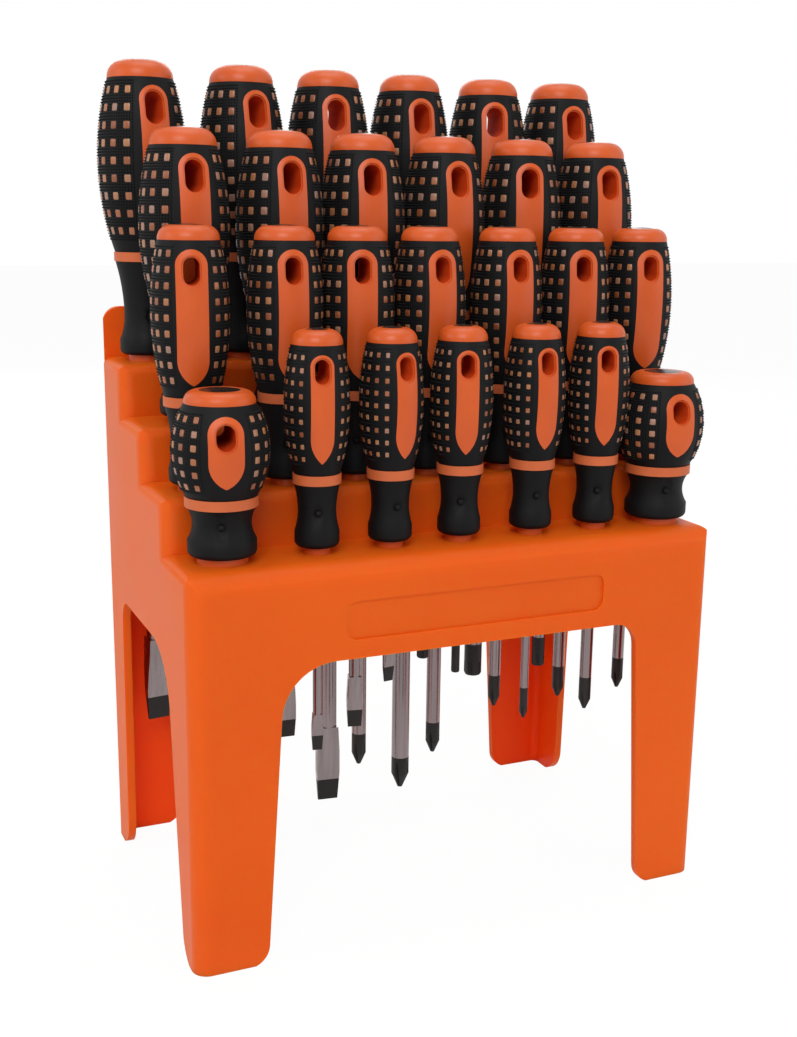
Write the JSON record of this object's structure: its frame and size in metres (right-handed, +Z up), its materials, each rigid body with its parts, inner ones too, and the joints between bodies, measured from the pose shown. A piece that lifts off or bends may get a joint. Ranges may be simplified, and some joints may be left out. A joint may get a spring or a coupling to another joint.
{
  "type": "screwdriver set with stand",
  "caption": "Screwdriver set hanging in a stepped bench stand: soft-grip handles with hanging holes, steel blades and an open-legged moulded shell.",
  "frame": {"origin": "on the bench, under the middle of the whole set", "axes": "+Z up, front of the stand towards -Y, +X to the right seen from the front"},
  "size_m": [0.2154, 0.128, 0.3192],
  "materials": {
    "stand_plastic": "smooth moulded orange plastic, soft gloss",
    "handle_plastic": "moulded orange plastic, satin",
    "blade_steel": "plated steel with blackened tips",
    "grip_rubber": "soft black rubber with fine beading",
    "disc_plastic": "glossy dark disc"
  },
  "bodies": {
    "root": {"stand": "stand_plastic", "front_handle_1": "handle_plastic", "front_handle_2": "handle_plastic", "front_handle_3": "handle_plastic", "front_handle_4": "handle_plastic", "front_handle_5": "handle_plastic", "front_handle_6": "handle_plastic", "front_handle_7": "handle_plastic", "lower_handle_1": "handle_plastic", "lower_handle_2": "handle_plastic", "lower_handle_3": "handle_plastic", "lower_handle_4": "handle_plastic", "lower_handle_5": "handle_plastic", "lower_handle_6": "handle_plastic", "lower_handle_7": "handle_plastic", "upper_handle_1": "handle_plastic", "upper_handle_2": "handle_plastic", "upper_handle_3": "handle_plastic", "upper_handle_4": "handle_plastic", "upper_handle_5": "handle_plastic", "upper_handle_6": "handle_plastic", "back_handle_1": "handle_plastic", "back_handle_2": "handle_plastic", "back_handle_3": "handle_plastic", "back_handle_4": "handle_plastic", "back_handle_5": "handle_plastic", "back_handle_6": "handle_plastic", "front_blade_1": "blade_steel", "front_blade_2": "blade_steel", "front_blade_3": "blade_steel", "front_blade_4": "blade_steel", "front_blade_5": "blade_steel", "front_blade_6": "blade_steel", "front_blade_7": "blade_steel", "lower_blade_1": "blade_steel", "lower_blade_2": "blade_steel", "lower_blade_3": "blade_steel", "lower_blade_4": "blade_steel", "lower_blade_5": "blade_steel", "lower_blade_6": "blade_steel", "lower_blade_7": "blade_steel", "upper_blade_1": "blade_steel", "upper_blade_2": "blade_steel", "upper_blade_3": "blade_steel", "upper_blade_4": "blade_steel", "upper_blade_5": "blade_steel", "upper_blade_6": "blade_steel", "back_blade_1": "blade_steel", "back_blade_2": "blade_steel", "back_blade_3": "blade_steel", "back_blade_4": "blade_steel", "back_blade_5": "blade_steel", "back_blade_6": "blade_steel", "front_rubber_grips": "grip_rubber", "lower_rubber_grips": "grip_rubber", "upper_rubber_grips": "grip_rubber", "back_rubber_grips": "grip_rubber", "end_discs": "disc_plastic"}
  },
  "joints": []
}
